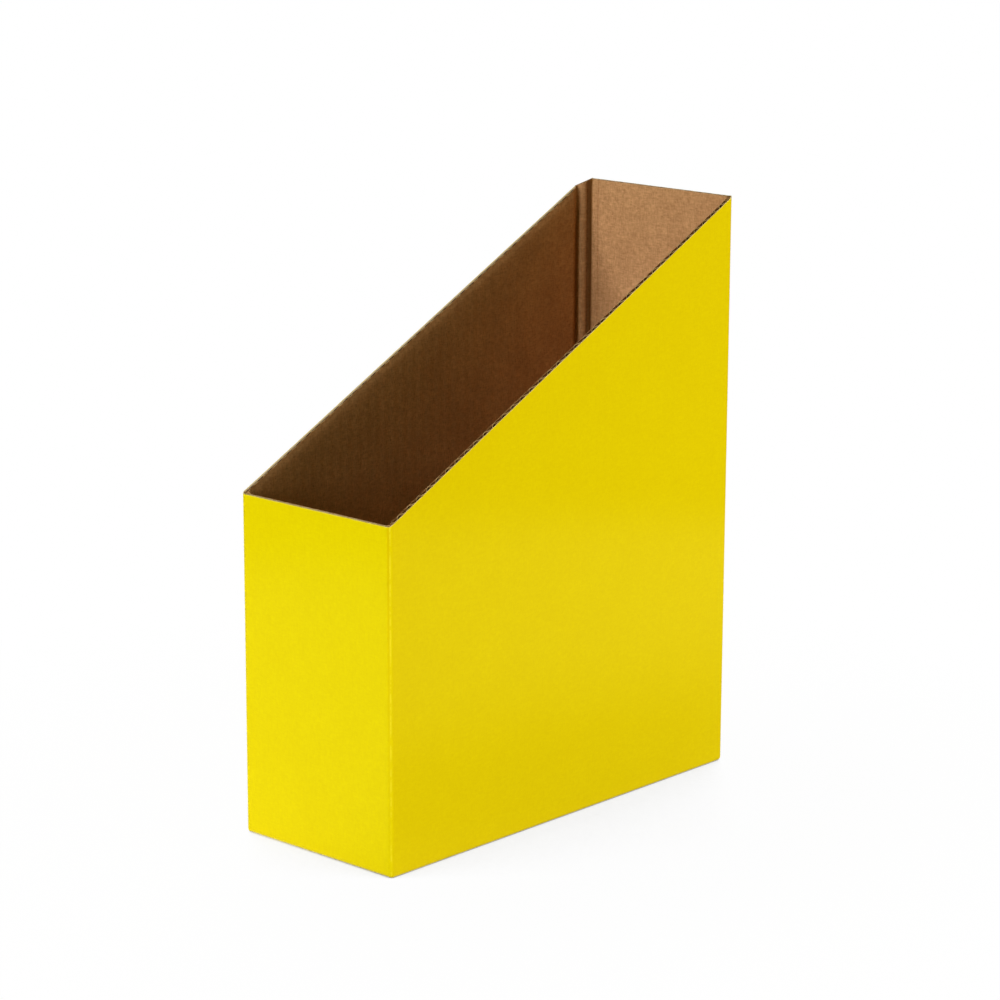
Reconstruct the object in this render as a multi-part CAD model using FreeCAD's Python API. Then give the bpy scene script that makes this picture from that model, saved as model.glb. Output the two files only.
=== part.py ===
import FreeCAD, Part
import math
import os

# An open-topped magazine file, folded from one blank of single-wall corrugated board.
# Each panel of the board is three papers glued together: an outer liner, a fluted medium
# and an inner liner. The panels meet at creases, where the papers stop short on a mitre.
# Frame: millimetres, +X right, +Y back, +Z up, with the origin under the middle of the base.

Vector = FreeCAD.Vector

# Standing size, over the outside of the board
width = 100.0
depth = 250.0
back_height = 300.0
front_height = 172.0

# The board's papers
liner = 0.25
medium_height = 2.5
medium_paper = 0.2
flute_pitch = 6.5
flute_land = 1.3

# Back left corner: a narrow strip between two creases, its medium crushed
strip_on_side = 7.5
strip_on_back = 5.5
crushed_medium = 0.9

# Glue lap: the left side carried on round the front corner and stuck inside the front
lap_width = 30.0
lap_bottom = 12.0
lap_below_front = 8.0
lap_end_taper = 6.0
glue = 0.2
glue_margin = 3.0

# Base flaps. The right flap lies flat, the other three slope up and rest on its edges.
right_flap_reach = 60.0
right_flap_setback = 30.0
left_flap_reach = 60.0
left_flap_length = 120.0
end_flap_reach = 58.0
end_flap_side_gap = 1.0
end_flap_left_angle = 4.0
end_flap_right_angle = 42.0
flap_fit = 0.3

# Tongue on the right flap, standing up through the left flap's notch
tongue_width = 28.0
tongue_height = 10.0
tongue_taper = 4.0
notch_side_gap = 10.0
notch_root_gap = 4.0

board = 2 * liner + medium_height
half_width = width / 2
half_depth = depth / 2
rake = (back_height - front_height) / depth


def save(name, shape):
    shape.exportStep("parts/" + name + ".step")


def seat(origin, along, up):
    """Where a panel's own axes lie: x along its crease, y away from it, z into the board."""
    into = along.cross(up)
    return FreeCAD.Placement(origin, FreeCAD.Rotation(along, up, into, "XYZ"))


def sheet(outline, near, far):
    """A flat sheet from depth near to depth far behind the board's outer face."""
    corners = [Vector(x, y, near) for x, y in outline]
    face = Part.Face(Part.makePolygon(corners + corners[:1]))
    return face.extrude(Vector(0, 0, far - near))


def flute_wave(first, last):
    """The fluted paper seen along its flutes, as (x, height) corners round the paper.

    It runs from crest number first to crest number last, and crest 0 is at x = 0.
    """
    rise = medium_height - medium_paper
    slope = math.atan2(rise, flute_pitch / 2 - flute_land)
    tuck = medium_paper / 2 * math.tan(slope / 2)
    outside = flute_land / 2 + tuck
    inside = flute_land / 2 - tuck
    upper = []
    lower = []
    for number in range(first, last + 1):
        crest = number * flute_pitch
        trough = crest + flute_pitch / 2
        upper += [(crest - outside, medium_height), (crest + outside, medium_height)]
        upper += [(trough - inside, medium_paper), (trough + inside, medium_paper)]
        lower += [(crest - inside, rise), (crest + inside, rise)]
        lower += [(trough - outside, 0), (trough + outside, 0)]
    return upper + lower[::-1]


def fluting(outline, near, far):
    """The fluted medium under an outline, with its flutes running along the panel's y."""
    across = [x for x, y in outline]
    along = [y for x, y in outline]
    first = math.floor(min(across) / flute_pitch) - 1
    last = math.ceil(max(across) / flute_pitch) + 1
    wave = [Vector(x, min(along), near + height) for x, height in flute_wave(first, last)]
    run = Part.Face(Part.makePolygon(wave + wave[:1]))
    run = run.extrude(Vector(0, max(along) - min(along), 0))
    return run.common(sheet(outline, near - board, far + board)).Solids[0]


def board_panel(name, outline, place):
    """Save a panel's three papers. outline(inset) is its edge, mitred back by inset."""
    papers = [
        ("outer_liner", sheet, 0, liner),
        ("fluting", fluting, liner, board - liner),
        ("inner_liner", sheet, board - liner, board),
    ]
    for paper, make, near, far in papers:
        shape = make(outline(far), near, far)
        shape.Placement = place
        save(name + "_" + paper, shape)


def mitre(turn):
    """How far a mitred edge draws back per depth, where the board turns by this angle."""
    return math.tan(turn / 2)


def creased_edge(low, high, crease_low, crease_high, lift):
    """A wall's bottom edge: full length on the floor, lifted where a flap folds under."""
    return [(low, 0), (crease_low, 0), (crease_low, lift),
            (crease_high, lift), (crease_high, 0), (high, 0)]


def side_top(y):
    """Height of the raked top edge of the sides."""
    return front_height + rake * (y + half_depth)


right_angle = math.pi / 2
up = Vector(0, 0, 1)

# Slopes of the flaps that pass over the right flap's free edge and its ends
left_flap_rise = math.atan2(board + flap_fit, width - right_flap_reach)
end_flap_rise = math.atan2(board + flap_fit, right_flap_setback)
left_flap_mitre = mitre(right_angle + left_flap_rise)
end_flap_mitre = mitre(right_angle + end_flap_rise)

# The strip's length across the corner, and the board's turn at each of its creases
strip_length = math.hypot(strip_on_side, strip_on_back)
side_turn = math.atan2(strip_on_back, strip_on_side)
back_turn = right_angle - side_turn

# Crease spans along the bottoms of the walls
left_flap_half = left_flap_length / 2
right_flap_half = half_depth - right_flap_setback
back_left = -half_width + strip_on_back + board * mitre(back_turn)
end_flap_low = max(-half_width + board, back_left) + end_flap_side_gap
end_flap_high = half_width - board - end_flap_side_gap


def left_side(inset):
    front = -half_depth + inset
    back = half_depth - strip_on_side - inset * mitre(side_turn)
    bottom = creased_edge(front, back, -left_flap_half, left_flap_half, inset * left_flap_mitre)
    return bottom + [(back, side_top(back)), (front, side_top(front))]


def right_side(inset):
    # Its x runs from the back corner to the front one
    end = half_depth - inset
    bottom = creased_edge(-end, end, -right_flap_half, right_flap_half, inset)
    return bottom + [(end, side_top(-end)), (-end, side_top(end))]


def front(inset):
    # Its x runs from the right corner to the left one
    end = half_width - inset
    lift = inset * end_flap_mitre
    bottom = creased_edge(-end, end, -end_flap_high, -end_flap_low, lift)
    return bottom + [(end, front_height), (-end, front_height)]


def back(inset):
    left = -half_width + strip_on_back + inset * mitre(back_turn)
    right = half_width - inset
    lift = inset * end_flap_mitre
    bottom = creased_edge(left, right, end_flap_low, end_flap_high, lift)
    return bottom + [(right, back_height), (left, back_height)]


def glue_lap(margin):
    # Its x runs from the free edge to the crease at the corner
    crease = half_width - board - margin
    edge = crease - lap_width + 2 * margin
    low = lap_bottom + margin
    high = front_height - lap_below_front - margin
    return [(edge, low + lap_end_taper), (crease, low), (crease, high), (edge, high - lap_end_taper)]


def right_flap(inset):
    half_tongue = tongue_width / 2
    crease = right_flap_reach - inset
    return [(-right_flap_half, inset), (right_flap_half, inset),
            (right_flap_half, right_flap_reach), (half_tongue, right_flap_reach),
            (half_tongue, crease), (-half_tongue, crease),
            (-half_tongue, right_flap_reach), (-right_flap_half, right_flap_reach)]


def tongue(inset):
    root = tongue_width / 2
    tip = root - tongue_taper
    return [(-root, inset), (root, inset), (tip, tongue_height), (-tip, tongue_height)]


def left_flap(inset):
    root = inset * left_flap_mitre
    notch = tongue_width / 2 + notch_side_gap
    notch_root = width - right_flap_reach - notch_root_gap
    return [(-left_flap_half, root), (left_flap_half, root),
            (left_flap_half, left_flap_reach), (notch, left_flap_reach),
            (notch, notch_root), (-notch, notch_root),
            (-notch, left_flap_reach), (-left_flap_half, left_flap_reach)]


def end_flap(inset):
    """A front or back flap, its x running to the right, cut away towards the right flap."""
    root = inset * end_flap_mitre
    low_run = math.tan(math.radians(end_flap_left_angle))
    high_run = math.tan(math.radians(end_flap_right_angle))
    return [(end_flap_low + low_run * root, root), (end_flap_high - high_run * root, root),
            (end_flap_high - high_run * end_flap_reach, end_flap_reach),
            (end_flap_low + low_run * end_flap_reach, end_flap_reach)]


def mirrored_end_flap(inset):
    return [(-x, y) for x, y in end_flap(inset)][::-1]


def corner_strip():
    """Save the strip's three papers, pressed closer together than the board's."""
    along = Vector(strip_on_back, strip_on_side, 0).normalize()
    place = seat(Vector(-half_width, half_depth - strip_on_side, 0), along, up)
    thickness = 2 * liner + crushed_medium
    papers = [
        ("outer_liner", 0, liner),
        ("crushed_medium", liner, thickness - liner),
        ("inner_liner", thickness - liner, thickness),
    ]
    for paper, near, far in papers:
        start = far * mitre(side_turn)
        stop = strip_length - far * mitre(back_turn)
        low_top = side_top(half_depth - strip_on_side)
        outline = [(start, 0), (stop, 0), (stop, back_height), (start, low_top)]
        shape = sheet(outline, near, far)
        shape.Placement = place
        save("corner_strip_" + paper, shape)


def sloped(inward, rise):
    """The direction of a flap that runs inward and climbs at this angle."""
    return inward * math.cos(rise) + up * math.sin(rise)


def walls():
    board_panel("left_side", left_side, seat(Vector(-half_width, 0, 0), Vector(0, 1, 0), up))
    board_panel("right_side", right_side, seat(Vector(half_width, 0, 0), Vector(0, -1, 0), up))
    board_panel("front", front, seat(Vector(0, -half_depth, 0), Vector(-1, 0, 0), up))
    board_panel("back", back, seat(Vector(0, half_depth, 0), Vector(1, 0, 0), up))


def lap():
    face = Vector(0, -half_depth + board, 0)
    film = sheet(glue_lap(glue_margin), 0, glue)
    film.Placement = seat(face, Vector(-1, 0, 0), up)
    save("lap_glue", film)
    place = seat(face + Vector(0, glue, 0), Vector(-1, 0, 0), up)
    board_panel("glue_lap", lambda inset: glue_lap(0), place)


def base():
    board_panel("right_flap", right_flap,
                seat(Vector(half_width, 0, 0), Vector(0, 1, 0), Vector(-1, 0, 0)))
    board_panel("tongue", tongue,
                seat(Vector(half_width - right_flap_reach, 0, 0), Vector(0, 1, 0), up))
    board_panel("left_flap", left_flap,
                seat(Vector(-half_width, 0, 0), Vector(0, -1, 0), sloped(Vector(1, 0, 0), left_flap_rise)))
    board_panel("front_flap", end_flap,
                seat(Vector(0, -half_depth, 0), Vector(1, 0, 0), sloped(Vector(0, 1, 0), end_flap_rise)))
    board_panel("back_flap", mirrored_end_flap,
                seat(Vector(0, half_depth, 0), Vector(-1, 0, 0), sloped(Vector(0, -1, 0), end_flap_rise)))


os.makedirs("parts", exist_ok=True)
walls()
corner_strip()
lap()
base()
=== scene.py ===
import math

import bpy
import bmesh
from mathutils import Matrix, Vector, noise


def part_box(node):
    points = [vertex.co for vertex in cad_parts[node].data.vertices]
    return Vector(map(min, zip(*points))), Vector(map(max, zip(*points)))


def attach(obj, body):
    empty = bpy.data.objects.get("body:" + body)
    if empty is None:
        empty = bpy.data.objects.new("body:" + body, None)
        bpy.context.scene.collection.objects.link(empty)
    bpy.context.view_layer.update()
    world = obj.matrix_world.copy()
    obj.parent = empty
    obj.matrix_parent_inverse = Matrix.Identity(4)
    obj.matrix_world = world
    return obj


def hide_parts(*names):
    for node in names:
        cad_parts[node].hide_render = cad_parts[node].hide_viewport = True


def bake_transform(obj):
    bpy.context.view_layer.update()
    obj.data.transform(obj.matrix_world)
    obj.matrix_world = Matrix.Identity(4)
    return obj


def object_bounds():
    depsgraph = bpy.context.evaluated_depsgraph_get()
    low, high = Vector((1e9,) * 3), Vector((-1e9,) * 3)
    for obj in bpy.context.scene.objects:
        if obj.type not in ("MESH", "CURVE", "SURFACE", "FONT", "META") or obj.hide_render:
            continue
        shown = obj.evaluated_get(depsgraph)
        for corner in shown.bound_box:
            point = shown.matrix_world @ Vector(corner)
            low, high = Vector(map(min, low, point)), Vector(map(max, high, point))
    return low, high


# A yellow magazine file folded from one blank of corrugated board: printed outside, bare kraft
# inside. Lengths are metres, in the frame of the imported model: front at -Y, right at +X.
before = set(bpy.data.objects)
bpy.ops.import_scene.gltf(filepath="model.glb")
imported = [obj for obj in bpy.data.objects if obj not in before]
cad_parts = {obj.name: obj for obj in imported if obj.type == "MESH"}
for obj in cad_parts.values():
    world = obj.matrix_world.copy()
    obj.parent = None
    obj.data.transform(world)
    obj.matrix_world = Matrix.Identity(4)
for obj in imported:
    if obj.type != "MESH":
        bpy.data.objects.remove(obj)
cad_low, cad_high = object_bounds()


# ---------------------------------------------------------------------------------------------
# Camera: a long lens, a little above the file, looking past its right front corner.
camera = bpy.data.objects.new("camera", bpy.data.cameras.new("camera"))
camera.data.lens = 118.2
camera.data.sensor_width = 36.0
camera.data.clip_end = 20.0
camera_turn = Matrix.Rotation(math.radians(42.42), 4, "Z")
camera_tilt = Matrix.Rotation(math.radians(90.0 - 13.60), 4, "X")
camera_roll = Matrix.Rotation(math.radians(0.21), 4, "Z")
camera.matrix_world = (Matrix.Translation((1.0799, -1.1767, 0.5413))
                       @ camera_turn @ camera_tilt @ camera_roll)
bpy.context.scene.collection.objects.link(camera)
bpy.context.scene.camera = camera
bpy.context.scene.view_settings.view_transform = "Standard"


# ---------------------------------------------------------------------------------------------
# Studio: a white table on a dark floor, seen as one white ground, under four plain lamps: one in
# front, one low on the right, one behind on the left, and a small one overhead.
# A painted shadow on the floor beside the right side, where the file's own shadow falls.
painted_shadow_centre = (0.11, 0.05, 0)
painted_shadow_stretch = (1, 2.6, 1)
painted_shadow_edge = (0.04, 0.16)
painted_shadow_tone = 0.3
table_edge = (0.58, 0.70)
table_shade = 0.92
dark_floor = 0.15
closed_in_reach = 0.35
closed_in_share = (0.08, 0.45)
near_floor = (0.15, 0.40)
near_floor_white = 0.985


def colour(red, green, blue):
    """A colour given as it looks on screen, 0 to 255, as the linear values that shaders take."""
    linear = [((c / 255 + 0.055) / 1.055) ** 2.4 if c > 10 else c / 255 / 12.92
              for c in (red, green, blue)]
    return (*linear, 1.0)


def new_material(name):
    """A material with empty nodes, its Principled shader and its output already joined."""
    material = bpy.data.materials.new(name)
    material.use_nodes = True
    nodes = material.node_tree.nodes
    nodes.clear()
    output = nodes.new("ShaderNodeOutputMaterial")
    shader = nodes.new("ShaderNodeBsdfPrincipled")
    material.node_tree.links.new(shader.outputs["BSDF"], output.inputs["Surface"])
    return material, shader


def spread(tree, value, low, high, to_low=0.0, to_high=1.0):
    """Stretch the part of a value between low and high over to_low to to_high."""
    node = tree.nodes.new("ShaderNodeMapRange")
    node.inputs["From Min"].default_value = low
    node.inputs["From Max"].default_value = high
    node.inputs["To Min"].default_value = to_low
    node.inputs["To Max"].default_value = to_high
    tree.links.new(value, node.inputs["Value"])
    return node.outputs["Result"]


def combine(tree, operation, first, second):
    """One math node; each side is a socket or a number."""
    node = tree.nodes.new("ShaderNodeMath")
    node.operation = operation
    for slot, value in enumerate((first, second)):
        if isinstance(value, (int, float)):
            node.inputs[slot].default_value = value
        else:
            tree.links.new(value, node.inputs[slot])
    return node.outputs[0]


def floor():
    """The floor shows white, except where the file closes it in, and glossy paper mirrors it as
    far as a white table would reach. A painted shadow on the floor beside the right side, where
    the file's own shadow falls, takes light off the foot of that side."""
    bpy.ops.mesh.primitive_plane_add(size=12.0, location=(0, 0, 0))
    plane = bpy.context.object
    plane.name = "floor"
    material, shader = new_material("floor white")
    shader.inputs["Roughness"].default_value = 0.9
    shader.inputs["Specular IOR Level"].default_value = 0.0
    tree = material.node_tree
    place = tree.nodes.new("ShaderNodeTexCoord")

    def distance_from(point=(0, 0, 0), stretch=(1, 1, 1)):
        mapping = tree.nodes.new("ShaderNodeMapping")
        mapping.vector_type = "TEXTURE"
        mapping.inputs["Location"].default_value = point
        mapping.inputs["Scale"].default_value = stretch
        tree.links.new(place.outputs["Object"], mapping.inputs["Vector"])
        length = tree.nodes.new("ShaderNodeVectorMath")
        length.operation = "LENGTH"
        tree.links.new(mapping.outputs[0], length.inputs[0])
        return length.outputs["Value"]

    # Painted shadow: the floor is darker beside the right side, in bounce light and in
    # reflections.
    painted_shadow = spread(tree, distance_from(painted_shadow_centre, painted_shadow_stretch), *painted_shadow_edge, painted_shadow_tone)
    table = spread(tree, distance_from(), *table_edge, 1.0, dark_floor)
    shade = combine(tree, "MULTIPLY", painted_shadow, table)
    tree.links.new(combine(tree, "MULTIPLY", shade, table_shade), shader.inputs["Base Color"])
    closed_in = tree.nodes.new("ShaderNodeAmbientOcclusion")
    closed_in.samples = 6
    closed_in.inputs["Distance"].default_value = closed_in_reach
    open_share = spread(tree, closed_in.outputs["AO"], *closed_in_share)
    near_white = spread(tree, distance_from(), *near_floor, near_floor_white)
    open_share = combine(tree, "MULTIPLY", open_share, near_white)
    path = tree.nodes.new("ShaderNodeLightPath")
    seen = combine(tree, "MULTIPLY", path.outputs["Is Camera Ray"], open_share)
    mirrored = combine(tree, "MAXIMUM", path.outputs["Is Glossy Ray"],
                       path.outputs["Is Transmission Ray"])
    mirrored = combine(tree, "MULTIPLY", mirrored, shade)
    white = tree.nodes.new("ShaderNodeEmission")
    white.inputs["Color"].default_value = (1, 1, 1, 1)
    mix = tree.nodes.new("ShaderNodeMixShader")
    tree.links.new(combine(tree, "ADD", seen, mirrored), mix.inputs[0])
    tree.links.new(shader.outputs["BSDF"], mix.inputs[1])
    tree.links.new(white.outputs[0], mix.inputs[2])
    output = next(n for n in tree.nodes if n.type == "OUTPUT_MATERIAL")
    tree.links.new(mix.outputs[0], output.inputs["Surface"])
    plane.data.materials.append(material)


def sky(fill):
    """A pale yellow fill all round the file, behind which the camera sees white."""
    world = bpy.data.worlds.new("sky")
    world.use_nodes = True
    bpy.context.scene.world = world
    tree = world.node_tree
    tree.nodes.clear()
    output = tree.nodes.new("ShaderNodeOutputWorld")
    soft = tree.nodes.new("ShaderNodeBackground")
    soft.inputs["Color"].default_value = (1.0, 0.95, 0.30, 1)
    soft.inputs["Strength"].default_value = fill
    bright = tree.nodes.new("ShaderNodeBackground")
    bright.inputs["Color"].default_value = (1, 1, 1, 1)
    bright.inputs["Strength"].default_value = 1.0
    path = tree.nodes.new("ShaderNodeLightPath")
    mix = tree.nodes.new("ShaderNodeMixShader")
    tree.links.new(path.outputs["Is Camera Ray"], mix.inputs[0])
    tree.links.new(soft.outputs[0], mix.inputs[1])
    tree.links.new(bright.outputs[0], mix.inputs[2])
    tree.links.new(mix.outputs[0], output.inputs["Surface"])


def softbox(name, place, aim, size, power, tint):
    """A flat rectangular lamp that stands at a place and faces its aim."""
    lamp = bpy.data.lights.new(name, "AREA")
    lamp.color = tint
    lamp.shape = "RECTANGLE"
    lamp.size, lamp.size_y = size
    lamp.energy = power
    box = bpy.data.objects.new(name, lamp)
    box.location = place
    box.rotation_euler = (Vector(aim) - Vector(place)).to_track_quat("-Z", "Y").to_euler()
    bpy.context.scene.collection.objects.link(box)


floor()
sky(fill=0.17)
softbox("front lamp", (-0.24, -2.6, 0.75), (0, 0, 0.15), (1.4, 1.0), 53.5, (0.98, 0.99, 1.0))
softbox("right lamp", (2.5, 0.85, 0.33), (0, 0, 0.10), (1.4, 0.56), 52, (1.0, 0.92, 0.76))
softbox("back lamp", (-1.9, 2.1, 0.80), (0, 0, 0.15), (1.4, 1.0), 40, (1.0, 0.98, 0.94))
softbox("top lamp", (0, -0.1, 2.4), (0, 0, 0.2), (0.3, 0.3), 5, (1.0, 0.99, 0.96))


# ---------------------------------------------------------------------------------------------
# The board's papers: a white-topped liner printed yellow and varnished outside, a bare kraft
# liner inside, and the fluted medium between them, of rougher brown paper.
mm = 0.001
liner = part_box("front_outer_liner")[1].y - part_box("front_outer_liner")[0].y
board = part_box("front_inner_liner")[1].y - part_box("front_outer_liner")[0].y
flute_pitch = 0.0065


def noise_node(tree, vector, scale, detail, stretch=(1, 1, 1)):
    """A noise texture, 0 to 1, on a vector that may be squeezed along its axes first."""
    mapping = tree.nodes.new("ShaderNodeMapping")
    mapping.inputs["Scale"].default_value = stretch
    tree.links.new(vector, mapping.inputs["Vector"])
    texture = tree.nodes.new("ShaderNodeTexNoise")
    texture.inputs["Detail"].default_value = detail
    texture.inputs["Scale"].default_value = scale
    tree.links.new(mapping.outputs[0], texture.inputs["Vector"])
    return texture.outputs["Fac"]


def paint(tree, amount, under, over):
    """Mix colours: under where amount is 0, over where it is 1. Each is a socket or a colour."""
    node = tree.nodes.new("ShaderNodeMix")
    node.data_type = "RGBA"
    tree.links.new(amount, node.inputs["Factor"])
    for slot, value in (("A", under), ("B", over)):
        socket = next(s for s in node.inputs if s.name == slot and s.type == "RGBA")
        if isinstance(value, tuple):
            socket.default_value = value
        else:
            tree.links.new(value, socket)
    return next(s for s in node.outputs if s.type == "RGBA")


def paper_grain():
    """Cloudy formation, mottle, fibres and specks of paper, 0 to 1, and its surface height."""
    tree = bpy.data.node_groups.new("paper grain", "ShaderNodeTree")
    tree.interface.new_socket("Vector", in_out="INPUT", socket_type="NodeSocketVector")
    for label in ("Cloud", "Mottle", "Fibre", "Speck", "Height"):
        tree.interface.new_socket(label, in_out="OUTPUT", socket_type="NodeSocketFloat")
    place = tree.nodes.new("NodeGroupInput").outputs["Vector"]
    result = tree.nodes.new("NodeGroupOutput")
    cloud = noise_node(tree, place, 45.0, 4.0)
    mottle = noise_node(tree, place, 430.0, 3.0)
    fibre = noise_node(tree, place, 1300.0, 4.0, (1, 1, 0.3))
    cross = noise_node(tree, place, 1300.0, 3.0, (0.3, 0.3, 1))
    speck = noise_node(tree, place, 900.0, 1.0)
    both = combine(tree, "MULTIPLY", combine(tree, "ADD", fibre, cross), 0.5)
    tree.links.new(spread(tree, cloud, 0.3, 0.7), result.inputs["Cloud"])
    tree.links.new(spread(tree, mottle, 0.3, 0.7), result.inputs["Mottle"])
    tree.links.new(spread(tree, both, 0.36, 0.64), result.inputs["Fibre"])
    tree.links.new(spread(tree, speck, 0.68, 0.80), result.inputs["Speck"])
    tree.links.new(combine(tree, "ADD", both, mottle), result.inputs["Height"])
    return tree


grain = paper_grain()


def paper_of(tree):
    """The paper grain in a material's own tree, laid on the piece's own coordinates."""
    node = tree.nodes.new("ShaderNodeGroup")
    node.node_tree = grain
    coordinates = tree.nodes.new("ShaderNodeTexCoord")
    tree.links.new(coordinates.outputs["Object"], node.inputs["Vector"])
    return node


def mask(tree, name):
    """A mask stored on the mesh, 0 to 1."""
    node = tree.nodes.new("ShaderNodeAttribute")
    node.attribute_name = name
    return node.outputs["Fac"]


def relief(tree, shader, height, distance):
    """Raise a shader's surface by a height of 0 to 1 over this distance."""
    bump = tree.nodes.new("ShaderNodeBump")
    bump.inputs["Distance"].default_value = distance
    tree.links.new(height, bump.inputs["Height"])
    tree.links.new(bump.outputs["Normal"], shader.inputs["Normal"])


def printed_yellow():
    """Varnished ink, with painted shade along a score, cracked pale under a painted highlight
    over a fold, and rubbed pale along a cut.
    """
    material, shader = new_material("printed yellow")
    tree = material.node_tree
    paper = paper_of(tree)
    ink = paint(tree, paper.outputs["Cloud"], colour(237, 218, 0), colour(239, 221, 1))
    ink = paint(tree, combine(tree, "MULTIPLY", paper.outputs["Mottle"], 0.35), ink,
                colour(231, 210, 0))
    ink = paint(tree, combine(tree, "MULTIPLY", paper.outputs["Fibre"], 0.5), ink,
                colour(226, 203, 0))
    # Painted shade: the score mask darkens the ink beside the upright creases, more towards the
    # top.
    ink = paint(tree, combine(tree, "MULTIPLY", mask(tree, "score"), 0.6), ink,
                colour(226, 186, 0))
    cracks = spread(tree, combine(tree, "ADD", paper.outputs["Fibre"], paper.outputs["Mottle"]),
                    0.75, 1.15)
    # The fold mask lays cracked varnish and a painted highlight along the crease's crest.
    ink = paint(tree, combine(tree, "MULTIPLY", mask(tree, "fold"), cracks), ink,
                colour(255, 240, 50))
    ink = paint(tree, mask(tree, "cut"), ink, colour(244, 222, 120))
    tree.links.new(ink, shader.inputs["Base Color"])
    tree.links.new(spread(tree, paper.outputs["Fibre"], 0.0, 1.0, 0.08, 0.16),
                   shader.inputs["Roughness"])
    shader.inputs["Specular IOR Level"].default_value = 0.03
    shader.inputs["Metallic"].default_value = 0.05
    relief(tree, shader, paper.outputs["Height"], 0.00002)
    return material


def bare_kraft(name, light, dark, speck, cut, depth):
    """Unprinted paper, with painted shade where it is scored, in the corner strip's grooves, and
    paler where it is cut, with bits of the medium crushed into the cut and ink smeared over it
    from the printed face."""
    material, shader = new_material(name)
    tree = material.node_tree
    paper = paper_of(tree)
    brown = paint(tree, combine(tree, "MULTIPLY", paper.outputs["Cloud"], 0.5), light, dark)
    brown = paint(tree, combine(tree, "MULTIPLY", paper.outputs["Mottle"], 0.22), brown, dark)
    brown = paint(tree, combine(tree, "MULTIPLY", paper.outputs["Fibre"], 0.55), brown, speck)
    brown = paint(tree, combine(tree, "MULTIPLY", paper.outputs["Speck"], 0.6), brown, speck)
    # Painted shade: the score mask darkens the kraft in the corner strip's grooves and at its
    # bead's feet.
    brown = paint(tree, mask(tree, "score"), brown, colour(120, 74, 22))
    brown = paint(tree, mask(tree, "cut"), brown, cut)
    brown = paint(tree, mask(tree, "crushed"), brown, colour(160, 136, 122))
    smear = combine(tree, "MULTIPLY", combine(tree, "POWER", mask(tree, "ink"), 3.0), 0.6)
    brown = paint(tree, smear, brown, colour(232, 205, 10))
    tree.links.new(brown, shader.inputs["Base Color"])
    shader.inputs["Roughness"].default_value = 0.86
    shader.inputs["Specular IOR Level"].default_value = 0.02
    relief(tree, shader, paper.outputs["Height"], depth)
    return material


yellow = printed_yellow()
kraft = bare_kraft("bare kraft", colour(216, 165, 117), colour(180, 133, 91),
                   colour(143, 99, 62), colour(222, 190, 150), 0.00012)
medium = bare_kraft("fluting paper", colour(148, 104, 60), colour(120, 80, 44),
                    colour(90, 58, 30), colour(228, 192, 134), 0.00010)
cut_white = bare_kraft("cut white liner", colour(248, 228, 184), colour(238, 210, 154),
                       colour(214, 180, 120), colour(248, 228, 190), 0.00006)


# ---------------------------------------------------------------------------------------------
# The four walls: panels of board cut to the raked outline. Their liners are drawn in a hair along
# the flutes they are glued to. The knife leaves each cut edge a little rough, and presses it into
# a lip behind the outer liner, more on some walls than on others.
front_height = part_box("front_outer_liner")[1].z
rake = (cad_high.z - front_height) / (cad_high.y - cad_low.y)
left, right = cad_low.x, cad_high.x
near_side, far_side = cad_low.y, cad_high.y
medium_paper = 0.2 * mm
outer_sink = 0.03 * mm
inner_sink = 0.07 * mm
rough_cut = 0.16 * mm
cut_rub = 0.5 * mm
fray = 1.0 * mm
open_lip = 0.15 * mm
plain_lip = 0.35 * mm
wide_lip = 1.3 * mm
press_reach = 4.0 * mm
press_depth = 0.5 * mm
cut_levels = (2.8 * mm, 1.8 * mm, fray, cut_rub, 0.0)
smooth_below = math.radians(50)
printed_sheet = (yellow, medium, cut_white)
kraft_sheet = (kraft, kraft, kraft)
medium_sheet = (medium, medium, medium)


def side_top(y):
    """Height of the raked edge of the sides."""
    return front_height + rake * (y - near_side)


class Panel:
    """A flat panel of board: x along its crease, y away from it, depth into the board."""

    def __init__(self, origin, along, up):
        self.origin = Vector(origin)
        self.along = Vector(along)
        self.up = Vector(up)
        self.into = self.along.cross(self.up)

    def point(self, x, y, depth):
        """Where a point of the panel lies in the part's frame."""
        return self.origin + self.along * x + self.up * y + self.into * depth


def double_sheet(name, near_grid, far_grid, materials, masks=()):
    """A closed thin sheet between two grids of points. The near grid takes the first material,
    the far grid the second, and the cut rim round them the third. Each mask is a name and its
    values over the near grid and over the far one."""
    rows, columns = len(near_grid), len(near_grid[0])
    points = [p for row in near_grid + far_grid for p in row]
    back = rows * columns
    faces = []
    numbers = []
    for j in range(rows - 1):
        for i in range(columns - 1):
            a = j * columns + i
            b, c, d = a + 1, a + columns + 1, a + columns
            faces += [(a, d, c, b), (back + a, back + b, back + c, back + d)]
            numbers += [0, 1]
    rim = list(range(columns))
    rim += [j * columns + columns - 1 for j in range(1, rows)]
    rim += [(rows - 1) * columns + i for i in range(columns - 2, -1, -1)]
    rim += [j * columns for j in range(rows - 2, 0, -1)]
    for a, b in zip(rim, rim[1:] + rim[:1]):
        faces.append((a, b, back + b, back + a))
        numbers.append(2)
    mesh = bpy.data.meshes.new(name)
    mesh.from_pydata([tuple(p) for p in points], [], faces)
    for material in materials:
        mesh.materials.append(material)
    mesh.polygons.foreach_set("material_index", numbers)
    mesh.polygons.foreach_set("use_smooth", [True] * len(faces))
    for label, near_values, far_values in masks:
        values = [v for row in near_values + far_values for v in row]
        mesh.attributes.new(label, "FLOAT", "POINT").data.foreach_set("value", values)
    mesh.update()
    mesh.set_sharp_from_angle(angle=smooth_below)
    piece = bpy.data.objects.new(name, mesh)
    bpy.context.scene.collection.objects.link(piece)
    return piece


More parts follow.
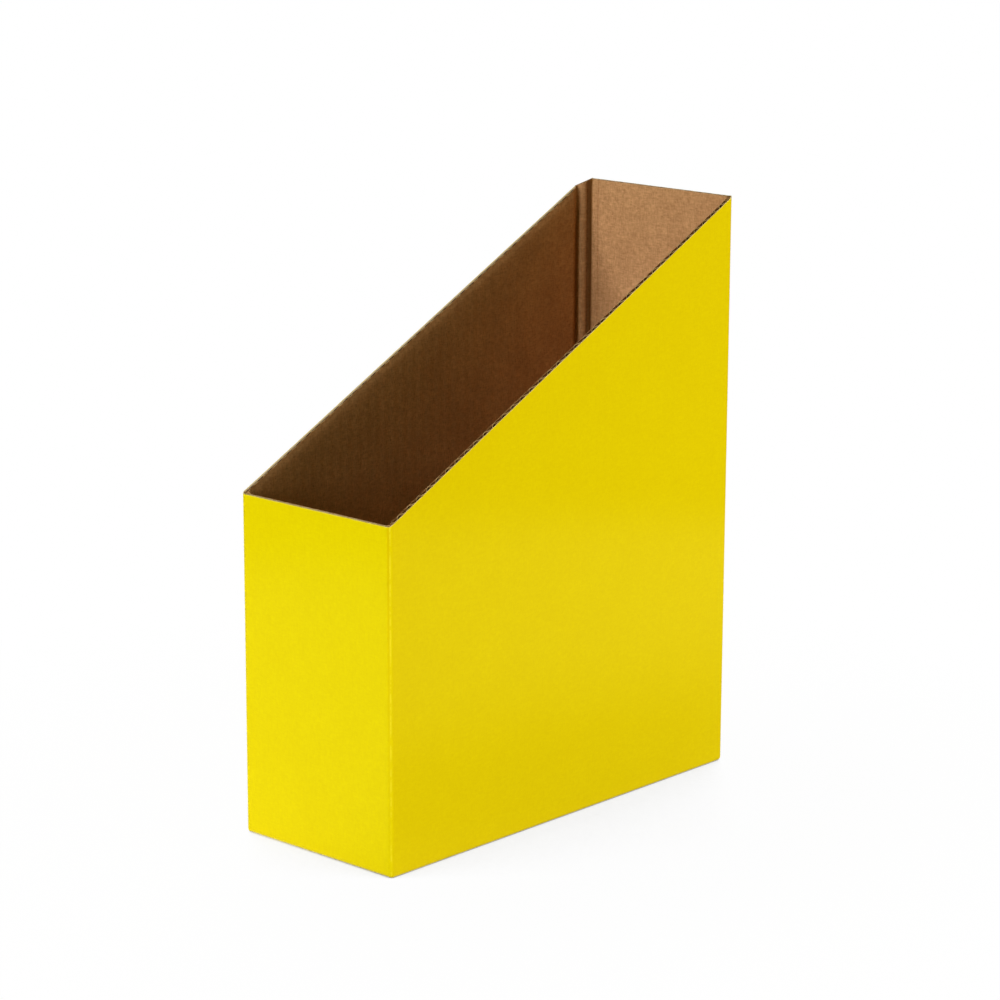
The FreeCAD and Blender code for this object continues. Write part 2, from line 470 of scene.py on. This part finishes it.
def stations(low, high, corners=()):
    """Columns across a panel, eight to a flute, and a pair a hair apart at each corner where
    its outline jumps."""
    hair = 0.1 * mm
    count = max(3, round((high - low) / flute_pitch * 8))
    marks = [low + (high - low) * k / count for k in range(count + 1)]
    for corner in corners:
        marks = [m for m in marks if abs(m - corner) > 3 * hair]
        marks += [corner - hair, corner + hair]
    return sorted(marks)


def knife(x, paper):
    """How far the knife left the cut edge of one paper off its line at x."""
    coarse = noise.noise(Vector((x * 900, paper * 7.3, 1.7)))
    fine = noise.noise(Vector((x * 3400, paper * 3.1, 8.2)))
    return -rough_cut * (0.5 + 0.9 * abs(coarse) + 0.5 * fine)


def pressed(below):
    """How far the knife has pressed the board together at this distance below its cut edge."""
    share = max(0.0, 1 - below / press_reach)
    return press_depth * share * share * (3 - 2 * share)


def levels(shares):
    """Rows up a panel, as (share of the height under the pressed edge, distance below it)."""
    return [(share, press_reach) for share in shares] + [(1.0, below) for below in cut_levels]


def level(low, high, row, reach=press_reach):
    """The height of a row between a panel's bottom and its cut top. Where the panel is short,
    the pressed part of it is shorter too."""
    room = min(1.0, (high - low) / (2 * press_reach))
    return low + (high - low - reach * room) * row[0] + (reach - row[1]) * room


def flute_top(x):
    """How near x is to the top of a flute, 0 to 1, which is where it touches the inner liner."""
    return 0.5 + 0.5 * math.cos(2 * math.pi * x / flute_pitch)


def sunk(x, depth):
    """How far a liner is drawn in at x, most along the flutes that it is glued to."""
    if depth < board / 2:
        return outer_sink * (1 - flute_top(x))
    return -inner_sink * flute_top(x)


def rim_wear(x, depth):
    """How pale a liner's cut edge is at x: the outer one unevenly all along, and the inner one
    only where a flute backs it."""
    if depth < board / 2:
        return min(1.0, max(0.3, 0.75 + 1.1 * noise.noise(Vector((x * 260, 5.1, 0.4)))))
    return 0.8 * flute_top(x) ** 4


def liner_sheet(name, panel, columns, bottom, top, near, far, materials, lip=0.0, crush=1.0,
                sink=sunk):
    """One flat liner of a panel, from bottom(x) to top(x). Along the cut the outer one has lost
    its ink and stands in a lip, darker with its crush, and the inner one is pressed to it."""
    inner = near > far
    rows = levels([0.0, 0.02, 0.06] + [0.12 + 0.08 * k for k in range(12)])
    near_grid = []
    far_grid = []
    for row in rows:
        press = pressed(row[1]) if inner else 0.0
        thick = lip if row[1] < cut_rub else 0.0
        heights = [level(bottom(x), top(x) + knife(x, near), row) for x in columns]
        near_grid.append([panel.point(x, y, near + sink(x, near) - press)
                          for x, y in zip(columns, heights)])
        far_grid.append([panel.point(x, y, far + sink(x, near) - press + thick)
                         for x, y in zip(columns, heights)])
    wear = [rim_wear(x, near) for x in columns]
    bare = [[[share * w * (row[1] <= reach) for w in wear] for row in rows]
            for share, reach in ((0.5, 0.0), (1.0, fray))]
    plain = [[0.0] * len(columns)] * len(rows)
    inked = plain if inner else [[1.0] * len(columns)] * len(rows)
    dulled = plain if inner else [[crush] * len(columns)] * len(rows)
    return double_sheet(name, near_grid, far_grid, materials,
                        [("cut", *bare), ("ink", inked, plain), ("crushed", plain, dulled)])


def flute_tree():
    """Geometry nodes for the fluted medium: a grid bent to a wave and given its thickness."""
    tree = bpy.data.node_groups.new("fluted medium", "GeometryNodeTree")
    make = tree.nodes.new
    link = tree.links.new
    for label, kind in (("Start", "Float"), ("Length", "Float"), ("Pitch", "Float"),
                        ("Wave", "Float"), ("Paper", "Float"), ("Columns", "Int"),
                        ("Rows", "Int"), ("Material", "Material")):
        tree.interface.new_socket(label, in_out="INPUT", socket_type="NodeSocket" + kind)
    tree.interface.new_socket("Geometry", in_out="OUTPUT", socket_type="NodeSocketGeometry")
    given = make("NodeGroupInput")
    result = make("NodeGroupOutput")

    def maths(operation, first, second=0.0):
        node = make("ShaderNodeMath")
        node.operation = operation
        for socket, value in zip(node.inputs, (first, second)):
            if isinstance(value, float):
                socket.default_value = value
            else:
                link(value, socket)
        return node.outputs[0]

    grid = make("GeometryNodeMeshGrid")
    link(given.outputs["Length"], grid.inputs["Size X"])
    grid.inputs["Size Y"].default_value = 1.0
    link(given.outputs["Columns"], grid.inputs["Vertices X"])
    link(given.outputs["Rows"], grid.inputs["Vertices Y"])
    place = make("GeometryNodeInputPosition")
    split = make("ShaderNodeSeparateXYZ")
    link(place.outputs[0], split.inputs[0])
    half = maths("MULTIPLY", given.outputs["Length"], 0.5)
    across = maths("ADD", split.outputs["X"], maths("ADD", half, given.outputs["Start"]))
    angle = maths("MULTIPLY", maths("DIVIDE", across, given.outputs["Pitch"]), 2 * math.pi)
    height = maths("MULTIPLY", maths("ADD", maths("COSINE", angle), 1.0), 0.5)
    join = make("ShaderNodeCombineXYZ")
    link(across, join.inputs["X"])
    link(maths("ADD", split.outputs["Y"], 0.5), join.inputs["Y"])
    link(maths("MULTIPLY", height, given.outputs["Wave"]), join.inputs["Z"])
    bend = make("GeometryNodeSetPosition")
    link(grid.outputs["Mesh"], bend.inputs["Geometry"])
    link(join.outputs[0], bend.inputs["Position"])
    thick = make("GeometryNodeExtrudeMesh")
    thick.inputs["Individual"].default_value = False
    link(bend.outputs[0], thick.inputs["Mesh"])
    link(given.outputs["Paper"], thick.inputs["Offset Scale"])
    flip = make("GeometryNodeFlipFaces")
    link(bend.outputs[0], flip.inputs[0])
    both = make("GeometryNodeJoinGeometry")
    link(thick.outputs["Mesh"], both.inputs[0])
    link(flip.outputs[0], both.inputs[0])
    weld = make("GeometryNodeMergeByDistance")
    weld.inputs["Distance"].default_value = 1e-6
    link(both.outputs[0], weld.inputs["Geometry"])
    real = make("GeometryNodeRealizeInstances")
    link(weld.outputs[0], real.inputs[0])
    paper = make("GeometryNodeSetMaterial")
    link(real.outputs[0], paper.inputs["Geometry"])
    link(given.outputs["Material"], paper.inputs["Material"])
    link(paper.outputs[0], result.inputs[0])
    return tree


fluted = flute_tree()


def fluting(name, panel, low, high, bottom, top):
    """The fluted medium of a panel: the wave from the nodes, stood up between bottom and top."""
    settings = {"Start": low, "Length": high - low, "Pitch": flute_pitch,
                "Wave": board - 2 * liner - medium_paper, "Paper": medium_paper,
                "Columns": max(4, round((high - low) / flute_pitch * 12)), "Rows": 10,
                "Material": medium}
    holder = bpy.data.objects.new(name, bpy.data.meshes.new(name))
    bpy.context.scene.collection.objects.link(holder)
    modifier = holder.modifiers.new("flutes", "NODES")
    modifier.node_group = fluted
    for socket in fluted.interface.items_tree:
        if socket.in_out == "INPUT":
            modifier[socket.identifier] = settings[socket.name]
    bpy.context.view_layer.update()
    evaluated = holder.evaluated_get(bpy.context.evaluated_depsgraph_get())
    mesh = bpy.data.meshes.new_from_object(evaluated)
    holder.modifiers.clear()
    holder.data = mesh
    rows = levels([0.0, 0.25, 0.5, 0.75, 1.0])
    paled = []
    for vertex in mesh.vertices:
        x, share, depth = vertex.co
        row = rows[round(share * (len(rows) - 1))]
        thin = 1 - pressed(row[1]) / (board - 2 * liner)
        y = level(bottom(x), top(x) + knife(x, 3.0), row)
        vertex.co = panel.point(x, y, liner + depth * thin)
        paled.append(0.8 * (row[1] == 0.0))
    mesh.attributes.new("cut", "FLOAT", "POINT").data.foreach_set("value", paled)
    mesh.polygons.foreach_set("use_smooth", [True] * len(mesh.polygons))
    mesh.set_sharp_from_angle(angle=smooth_below)
    return holder


def board_panel(name, body, panel, ends, trims, bottom, top, corners=(), lip=plain_lip,
                crush=1.0, inner_shape=sunk):
    """A panel's three papers, each in place of its CAD node. ends are the ends of its outer
    face, and trims how far the outer liner, medium and inner liner stop short of them."""
    spans = [(ends[0] + a, ends[1] - b) for a, b in trims]
    outer = liner_sheet("sheet_" + name + "_outer_liner", panel, stations(*spans[0], corners),
                        lambda x: bottom(x, 0), top, 0.0, liner, printed_sheet, lip, crush)
    inner = liner_sheet("sheet_" + name + "_inner_liner", panel,
                        stations(*spans[2], corners)[::-1], lambda x: bottom(x, 2), top,
                        board, board - liner, kraft_sheet, sink=inner_shape)
    core = fluting("sheet_" + name + "_fluting", panel, *spans[1], lambda x: bottom(x, 1), top)
    for piece, paper, finish in ((outer, "outer_liner", "printed_liner"),
                                 (inner, "inner_liner", "kraft_liner"),
                                 (core, "fluting", "fluting_paper")):
        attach(piece, body)
        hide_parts(name + "_" + paper)


# How far each paper stops short of a square corner: the outer liner where its fold begins, the
# medium where the crease has crushed it, and the inner liner where its own crease begins.
fold_radius = 2.0 * mm
inner_room = 1.2 * mm
square_trim = (fold_radius, board, board + inner_room)

# The double crease at the back left: where its strip starts on the side and ends on the back,
# and how far each wall's papers stop short of it, the inner ones to dip into its grooves.
strip_start = Vector((left, far_side - 7.5 * mm))
strip_end = Vector((left + 5.5 * mm, far_side))
groove_room = 0.4 * mm
side_dip = 4.7 * mm
back_dip = 3.1 * mm
side_trim = (groove_room, side_dip, side_dip)
back_trim = (groove_room, back_dip, back_dip)

# The slopes of the base flaps, which pass over the flat right flap, and the radius of their folds
right_flap_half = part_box("right_flap_outer_liner")[1].y
right_flap_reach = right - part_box("right_flap_outer_liner")[0].x
flap_fit = 0.3 * mm
left_slope = math.atan2(board + flap_fit, right - left - right_flap_reach)
end_slope = math.atan2(board + flap_fit, far_side - right_flap_half)
base_radius = 1.9 * mm


def fold_trims(slope):
    """How far the three papers stop short of a base crease whose flap climbs at this slope."""
    mitre = math.tan(math.pi / 4 + slope / 2)
    return (base_radius * mitre, (board - liner) * mitre, board * mitre + inner_room)


def creased_off(slope):
    """The bottom of a wall, or the root of a flap: each paper starts where its crease ends."""
    trims = fold_trims(slope)
    return lambda x, paper: trims[paper]


board_panel("front", "front", Panel((0, near_side, 0), (-1, 0, 0), (0, 0, 1)),
            (-right, -left), list(zip(square_trim, square_trim)),
            creased_off(end_slope), lambda x: front_height, lip=wide_lip, crush=0.1)
board_panel("right_side", "right_side", Panel((right, 0, 0), (0, -1, 0), (0, 0, 1)),
            (-far_side, -near_side), list(zip(square_trim, square_trim)),
            creased_off(0), lambda x: side_top(-x), lip=open_lip)
board_panel("left_side", "left_side", Panel((left, 0, 0), (0, 1, 0), (0, 0, 1)),
            (near_side, strip_start.y), list(zip(square_trim, side_trim)),
            creased_off(left_slope), side_top, lip=wide_lip)
faint_score = left + 12.2 * mm
faint_half_width = 0.2 * mm
faint_depth = 0.3 * mm


def scored_once(x, depth):
    """The back's inner liner, with the faint score that runs up it beside the strip."""
    scored = abs(x - faint_score) < faint_half_width
    return sunk(x, depth) - (faint_depth if scored else 0.0)


board_panel("back", "back", Panel((0, far_side, 0), (1, 0, 0), (0, 0, 1)),
            (strip_end.x, right), list(zip(back_trim, square_trim)),
            creased_off(end_slope), lambda x: cad_high.z, (faint_score,), lip=wide_lip,
            inner_shape=scored_once)


# ---------------------------------------------------------------------------------------------
# The upright creases. The outer liner rounds each corner, its varnish cracked along the fold
# under a painted highlight, with painted shade along its score; the inner liner buckles into the
# corner between two small beads, and the medium is crushed.
def rounded(corner, toward_first, toward_second, radius, inset=0.0, steps=8):
    """Points round a corner from the first leg to the second, inset from its outer face."""
    middle = (toward_first + toward_second).normalized()
    half = math.acos(max(-1.0, min(1.0, toward_first.dot(middle))))
    centre = corner + middle * (radius / math.sin(half))
    reach = radius / math.tan(half)
    start = corner + toward_first * reach - centre
    end = corner + toward_second * reach - centre
    turn = math.pi - 2 * half
    scale = (radius - inset) / radius
    points = []
    for k in range(steps + 1):
        share = k / steps
        mixed = start * math.sin((1 - share) * turn) + end * math.sin(share * turn)
        points.append(centre + mixed * (scale / math.sin(turn)))
    return points


def beside(path, distance, toward):
    """A path moved sideways by a distance, to the side on which the point toward lies."""
    moved = []
    for k, point in enumerate(path):
        run = path[min(k + 1, len(path) - 1)] - path[max(k - 1, 0)]
        side = Vector((-run.y, run.x)).normalized()
        if side.dot(toward - point) < 0:
            side = -side
        moved.append(point + side * distance)
    return moved


def swept(name, section, rows, reach, place, low, high, materials, masks=(), pale=0.2):
    """A closed band carried along a crease. section(below) gives its near and far paths at that
    distance below a cut end; place(point, s) stands a point of them at s along the crease. Each
    mask is a name and its values across the band at a share of its length, and pale is how
    much the cut end has paled."""
    near_grid = []
    far_grid = []
    for row in rows:
        for path, grid in zip(section(row[1]), (near_grid, far_grid)):
            last = len(path) - 1
            grid.append([place(p, level(low(k / last, p), high(k / last, p), row, reach))
                         for k, p in enumerate(path)])
    values = [(label, [across(row[0]) for row in rows], [across(0.0)] * len(rows))
              for label, across in masks]
    if reach:
        bare = [[[pale * (row[1] <= frayed)] * len(near_grid[0]) for row in rows]
                for frayed in (0.0, cut_rub)]
        values.append(("cut", *bare))
    piece = double_sheet(name, near_grid, far_grid, materials, values)
    work = bmesh.new()
    work.from_mesh(piece.data)
    bmesh.ops.recalc_face_normals(work, faces=work.faces)
    work.to_mesh(piece.data)
    work.free()
    return piece


def inner_crease(corner, toward_first, toward_second, thickness):
    """The inner liner through a fold of board this thick: it leaves one panel, swells into a
    bead, buckles into the valley, and swells again before the other panel."""
    valley_depth = 0.45 * mm
    bead_rise = 0.5 * mm
    middle = (toward_first + toward_second).normalized()
    sine = abs(toward_first.cross(middle))
    cosine = toward_first.dot(middle)
    valley = corner + middle * (thickness / sine - valley_depth)
    bend = valley + middle * bead_rise
    ends = []
    for toward in (toward_first, toward_second):
        into = (middle - toward * cosine) / sine
        ends.append(corner + toward * (board * cosine / sine + inner_room) + into * thickness)
    beads = [(bend + toward * inner_room * 0.4,
              bend + toward * inner_room * 0.75 + middle * 0.06 * mm)
             for toward in (toward_first, toward_second)]
    return [ends[0], beads[0][1], beads[0][0], valley, beads[1][0], beads[1][1], ends[1]]


def crease(name, corner, toward_first, toward_second, radius, place, low, high,
           rows, reach):
    """The three papers through a crease between two panels. corner is the sharp corner of the
    outer faces, and the two directions run back along the panels.
    An upright crease has painted shade along its score, stronger towards the top."""
    core_depth = liner + 0.05 * mm
    core_drop = 0.3 * mm

    def outer(below):
        lip = plain_lip if below < cut_rub and reach else 0.0
        return (rounded(corner, toward_first, toward_second, radius),
                rounded(corner, toward_first, toward_second, radius, liner + lip))

    def inner(below, inset=0.0):
        thickness = board - (pressed(below) if reach else 0.0)
        path = inner_crease(corner, toward_first, toward_second, thickness)
        return path if not inset else beside(path, inset, corner)

    def core(below):
        return (rounded(corner, toward_first, toward_second, radius, core_depth, 6),
                inner(below, core_depth))

    # Across the outer liner's nine columns, how cracked its varnish is under a painted highlight,
    # and how much painted shade lies along its score
    cracks_and_highlight = [0, 0, 0, 0.1, 0.8, 0.2, 0, 0, 0]
    scored = [0.1, 0.7, 0.9, 0.5, 0.1, 0, 0, 0, 0]
    pieces = [
        (swept("crease_" + name + "_outer", outer, rows, reach, place, low, high, printed_sheet,
               [("fold", lambda share: cracks_and_highlight),
                ("score", lambda share: [v * share * bool(reach) for v in scored])]),
         "printed_liner"),
        (swept("crease_" + name + "_core", core, rows, reach, place, low,
               lambda share, p: high(share, p) - core_drop, medium_sheet, pale=0.15),
         "fluting_paper"),
        (swept("crease_" + name + "_inner", lambda below: (inner(below), inner(below, liner)),
               rows, reach, place, low, high, kraft_sheet), "kraft_liner")]
    start = place(corner + toward_first * radius, low(0, corner))
    end = place(corner + toward_second * radius, low(1, corner))
    for piece, finish in pieces:
        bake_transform(piece)


def upright(point, height):
    """A point of a crease's section stood at a height. Near the floor it draws in, so that the
    corner rounds into the folds along the bottom."""
    drop = max(0.0, base_radius - height)
    draw_in = base_radius - math.sqrt(base_radius ** 2 - drop ** 2)
    core = Vector((min(max(point.x, left + fold_radius), right - fold_radius),
                   min(max(point.y, near_side + fold_radius), far_side - fold_radius)))
    drawn = point + (core - point).normalized() * min(draw_in, (core - point).length)
    return Vector((drawn.x, drawn.y, height))


def floor_level(share, point):
    """The upright creases start a little above the floor."""
    return 0.4 * mm


def top_between(first, second):
    """The top of a crease that runs from the first wall's top to the second's."""
    return lambda share, p: first(p.y) + share * (second(p.y) - first(p.y))


# The rows lie close together by the floor, where the corner draws in
upright_rows = levels([0, 0.0015, 0.003, 0.005, 0.008] + [k / 16 for k in range(1, 17)])
wall_tops = {"front": lambda y: front_height, "back": lambda y: cad_high.z,
             "left_side": side_top, "right_side": side_top}
for name, first, second, corner, toward_first, toward_second in (
        ("front_right", "front", "right_side", (right, near_side), (-1, 0), (0, 1)),
        ("back_right", "right_side", "back", (right, far_side), (0, -1), (-1, 0)),
        ("front_left", "left_side", "front", (left, near_side), (0, 1), (1, 0))):
    crease(name, Vector(corner), Vector(toward_first), Vector(toward_second),
           fold_radius, upright, floor_level, top_between(wall_tops[first], wall_tops[second]),
           upright_rows, press_reach)


# ---------------------------------------------------------------------------------------------
# The strip across the back left corner, pressed nearly flat between its two creases, with a low
# bead standing up along its middle. It hinges on the left side, and meets the back in a groove.
strip_along = (strip_end - strip_start).normalized()
strip_into = Vector((strip_along.y, -strip_along.x))
strip_length = (strip_end - strip_start).length


def on_strip(along, thickness):
    """A point over the strip, along it from the side and in from its outer face."""
    return strip_start + strip_along * along + strip_into * thickness


def strip_top(share, point):
    """The strip's top climbs from the end of the rake to the back's height."""
    along = (point - strip_start).dot(strip_along) / strip_length
    low = side_top(strip_start.y)
    if along < 0:
        return side_top(point.y)
    return low + (cad_high.z - low) * min(1.0, along)


def strip_paper(name, path, toward, thickness, materials, body, node=None, scored=None):
    """One paper of the strip or of its grooves, which goes this thick from its path towards a
    It rides one body, or is left unattached when two are given, and scored gives the painted
    shade along its score across it."""
    piece = swept(name, lambda below: (path(below), beside(path(below), thickness, toward)),
                  upright_rows, press_reach, upright, floor_level, strip_top, materials,
                  [("score", scored)] if scored else ())
    if isinstance(body, tuple):
        upright(path(1.0)[0], 0)
        upright(path(1.0)[-1], 0)
        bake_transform(piece)
    else:
        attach(piece, body)
    if node:
        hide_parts(node)


inside = Vector((0, 0))
outside = Vector((left - 20 * mm, far_side + 20 * mm))
beyond_back = Vector((0, far_side + 50 * mm))
bead = [on_strip(along * mm, thickness * mm) for along, thickness in
        ((0.6, 0.90), (1.5, 1.10), (2.3, 1.70), (3.2, 2.15), (4.4, 2.25), (5.6, 2.05),
         (6.3, 1.45), (7.2, 0.90), (8.5, 0.75))]
face = [on_strip(along * mm, thickness * mm) for along, thickness in
        ((0.5, 0.02), (2.0, 0.06), (4.6, 0.12), (7.2, 0.06), (8.8, 0.02))]
side_round = [Vector((left, strip_start.y - groove_room)), on_strip(0.1 * mm, 0.03 * mm), face[0]]
back_round = [face[-1], on_strip(strip_length, 0.05 * mm),
              Vector((strip_end.x + groove_room, far_side))]


def side_valley(below):
    """The side's inner liner dipping into the strip's first groove."""
    start = Vector((left + board - pressed(below), strip_start.y - side_dip))
    return [start, start.lerp(bead[0], 0.3) + Vector((0.25, 0)) * mm,
            start.lerp(bead[0], 0.7) + Vector((0.15, 0)) * mm, bead[0]]


def back_valley(below):
    """The second groove, and the steep rise from it to the back's inner liner."""
    end = Vector((strip_end.x + back_dip, far_side - board + pressed(below)))
    foot = on_strip(8.6 * mm, 0.86 * mm)
    return [foot, foot.lerp(end, 0.25) + Vector((-0.3, 0)) * mm,
            foot.lerp(end, 0.7) + Vector((-0.35, 0)) * mm, end]


def bead_foot_shade(share):
    """Painted shade at the bead's own feet, which are scored: the one by the back all the way up,
    the other one only to a little below the cut."""
    shown = share < 1.0
    return [0.7 * shown, 0.4 * shown, 0, 0, 0, 0, 0.3, 0.6, 0.9]


def side_groove_shade(share):
    """Painted shade in the first groove, which is scored towards the bead, to a little below the
    cut.
    """
    shown = share < 1.0
    return [0, 0.2 * shown, 0.6 * shown, 0.7 * shown]


strip_paper("strip_outer_liner", lambda below: face, inside, liner, printed_sheet,
            "corner_strip", node="corner_strip_outer_liner")
strip_paper("strip_inner_liner", lambda below: bead, outside, liner, kraft_sheet,
            "corner_strip", node="corner_strip_inner_liner", scored=bead_foot_shade)
strip_paper("strip_crushed_medium", lambda below: [p + strip_into * 0.3 * mm for p in face],
            inside, 0.35 * mm, medium_sheet, "corner_strip",
            node="corner_strip_crushed_medium")
strip_paper("groove_side_inner", side_valley, outside, liner, kraft_sheet,
            ("left_side", "corner_strip"), scored=side_groove_shade)
strip_paper("groove_side_outer", lambda below: side_round, inside, liner, printed_sheet,
            ("left_side", "corner_strip"))
# Painted shade down the second groove, along its score.
strip_paper("groove_back_inner", back_valley, beyond_back, liner, kraft_sheet,
            "back", scored=lambda share: [0.9, 1.0, 0.6, 0])
strip_paper("groove_back_outer", lambda below: back_round, inside, liner, printed_sheet,
            "back")


# ---------------------------------------------------------------------------------------------
# The glue lap: the left side carried on round the front corner, tapered at both ends, and stuck
# inside the front with a film of white glue.
lap_low, lap_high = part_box("glue_lap_outer_liner")
lap_taper = 6.0 * mm
lap_width = lap_high.x - lap_low.x
lap_trims = (board + 0.1 * mm, board, board + inner_room)
lap_corner = Vector((left - 0.02 * mm, lap_low.y))


def even_rows(count):
    """Rows evenly spaced along a crease that has no cut end."""
    return [(k / count, 0.0) for k in range(count + 1)]


def lap_end(x):
    """How much shorter the lap is at x than at its crease, at each end."""
    return lap_taper * (1 - (x + lap_high.x) / lap_width)


board_panel("glue_lap", "front", Panel((0, lap_low.y, 0), (-1, 0, 0), (0, 0, 1)),
            (-lap_high.x, -left), [(0.0, trim) for trim in lap_trims],
            lambda x, paper: lap_low.z + lap_end(x), lambda x: lap_high.z - lap_end(x))
lap_valley = inner_crease(lap_corner, Vector((0, 1)), Vector((1, 0)), board)
lap_back = beside(lap_valley, liner, Vector((left, 0)))
lap_crease = swept("crease_lap_inner", lambda below: (lap_valley, lap_back),
                   even_rows(12), 0.0, upright, lambda share, p: lap_low.z,
                   lambda share, p: lap_high.z, kraft_sheet)
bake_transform(lap_crease)


def dried_glue():
    """White glue, dried to a thin film that is a little clouded."""
    material, shader = new_material("dried white glue")
    tree = material.node_tree
    paper = paper_of(tree)
    tree.links.new(paint(tree, paper.outputs["Cloud"], colour(226, 218, 198),
                         colour(240, 236, 224)), shader.inputs["Base Color"])
    shader.inputs["Roughness"].default_value = 0.35
    relief(tree, shader, paper.outputs["Height"], 0.00005)
    return material


def glue_film():
    """The glue, a little short of its CAD film at both ends, with a soft uneven outline."""
    shrink = 0.8 * mm
    most_wander = 0.6 * mm
    low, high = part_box("lap_glue")
    columns = [low.x + (high.x - low.x) * k / 24 for k in range(25)]
    grids = []
    for y in (low.y, high.y):
        grid = []
        for j in range(33):
            row = []
            for x in columns:
                wander = most_wander * noise.noise(Vector((x * 300, j * 0.4, 2.0)))
                start = low.z + shrink + wander
                end = high.z - shrink + wander
                taper = lap_taper * (x - low.x) / (high.x - low.x)
                row.append(Vector((x, y, start + taper + (end - start - 2 * taper) * j / 32)))
            grid.append(row)
        grids.append(grid)
    piece = double_sheet("film_lap_glue", *grids, (glue_white, glue_white, glue_white))
    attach(piece, "front")
    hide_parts("lap_glue")


glue_white = dried_glue()
glue_film()


# ---------------------------------------------------------------------------------------------
# The base: a right flap that lies flat with a tongue at its end, a left flap whose notch takes
# the tongue, and front and back flaps between them. Each is creased off the bottom of its wall.
tongue_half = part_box("tongue_outer_liner")[1].y
tongue_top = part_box("tongue_outer_liner")[1].z
tongue_trim = 1.0 * mm
tongue_steepness = 3.2
tongue_spread = 1.02
left_flap_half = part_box("left_flap_outer_liner")[1].y
left_flap_reach = 60.0 * mm
notch_half = tongue_half + 10.0 * mm
notch_root = right - left - right_flap_reach - 4.0 * mm
end_flap_low = left + 8.02 * mm
end_flap_high = right - board - 1.0 * mm
end_flap_reach = 58.0 * mm
end_flap_least = 6.0 * mm
left_cut = math.radians(4.0)
right_cut = math.radians(42.0)
no_trim = [(0.0, 0.0)] * 3


def right_flap_end(x):
    """The right flap's free edge, set back a board's thickness where the tongue stands up."""
    return right_flap_reach - (board if abs(x) < tongue_half else 0.0)


def tongue_end(x):
    """The tongue's tip, with its two corners cut off steeply."""
    return min(tongue_top, tongue_top * tongue_steepness * (tongue_spread - abs(x) / tongue_half))


def left_flap_end(x):
    """The left flap's free edge, with the notch in its middle."""
    return notch_root if abs(x) < notch_half else left_flap_reach


def end_flap_end(low_sign):
    """The far edge of a front or back flap, cut back a little to the left and much more to the
    right. Its x runs to the right where low_sign is 1, and to the left where it is -1."""
    def top(x):
        place = x * low_sign
        from_left = (place - end_flap_low) / math.tan(left_cut)
        from_right = (end_flap_high - place) / math.tan(right_cut)
        return max(end_flap_least, min(end_flap_reach, from_left, from_right))
    return top


def climbing(inward, slope):
    """The direction of a flap that runs inward and climbs at this slope."""
    return Vector(inward) * math.cos(slope) + Vector((0, 0, 1)) * math.sin(slope)


board_panel("right_flap", "right_flap", Panel((right, 0, 0), (0, 1, 0), (-1, 0, 0)),
            (-right_flap_half, right_flap_half), no_trim, creased_off(0),
            right_flap_end, (-tongue_half, tongue_half))
board_panel("tongue", "locking_tongue",
            Panel((right - right_flap_reach, 0, 0), (0, 1, 0), (0, 0, 1)),
            (-tongue_half + tongue_trim, tongue_half - tongue_trim), no_trim,
            creased_off(0), tongue_end)
board_panel("left_flap", "left_flap",
            Panel((left, 0, 0), (0, -1, 0), climbing((1, 0, 0), left_slope)),
            (-left_flap_half, left_flap_half), no_trim, creased_off(left_slope),
            left_flap_end, (-notch_half, notch_half))
board_panel("front_flap", "front_flap",
            Panel((0, near_side, 0), (1, 0, 0), climbing((0, 1, 0), end_slope)),
            (end_flap_low, end_flap_high), no_trim, creased_off(end_slope),
            end_flap_end(1))
board_panel("back_flap", "back_flap",
            Panel((0, far_side, 0), (-1, 0, 0), climbing((0, -1, 0), end_slope)),
            (-end_flap_high, -end_flap_low), no_trim, creased_off(end_slope),
            end_flap_end(-1))


def along_y(point, s):
    """A point (x, height) of a crease's section, stood at s along a crease that runs in y."""
    return Vector((point.x, s, point.y))


def along_x(point, s):
    """A point (y, height) of a crease's section, stood at s along a crease that runs in x."""
    return Vector((s, point.x, point.y))


def base_crease(name, corner, inward, slope, place, low, high):
    """The crease between a wall and its flap, in a section of (across, height)."""
    crease(name, Vector((corner, 0)), Vector((0, 1)),
           Vector((inward * math.cos(slope), math.sin(slope))), base_radius, place,
           lambda share, p: low, lambda share, p: high, even_rows(8), 0.0)


side_low, side_high = near_side + fold_radius, far_side - fold_radius
base_crease("right_flap", right, -1, 0, along_y,
            side_low, side_high)
base_crease("left_flap", left, 1, left_slope, along_y,
            side_low, strip_start.y - side_dip)
base_crease("front_flap", near_side, 1, end_slope, along_x,
            left + fold_radius, right - fold_radius)
base_crease("back_flap", far_side, -1, end_slope, along_x,
            strip_end.x + back_dip, right - fold_radius)
crease("tongue", Vector((right - right_flap_reach, 0)),
       Vector((1, 0)), Vector((0, 1)), base_radius, along_y,
       lambda share, p: -tongue_half, lambda share, p: tongue_half, even_rows(4), 0.0)
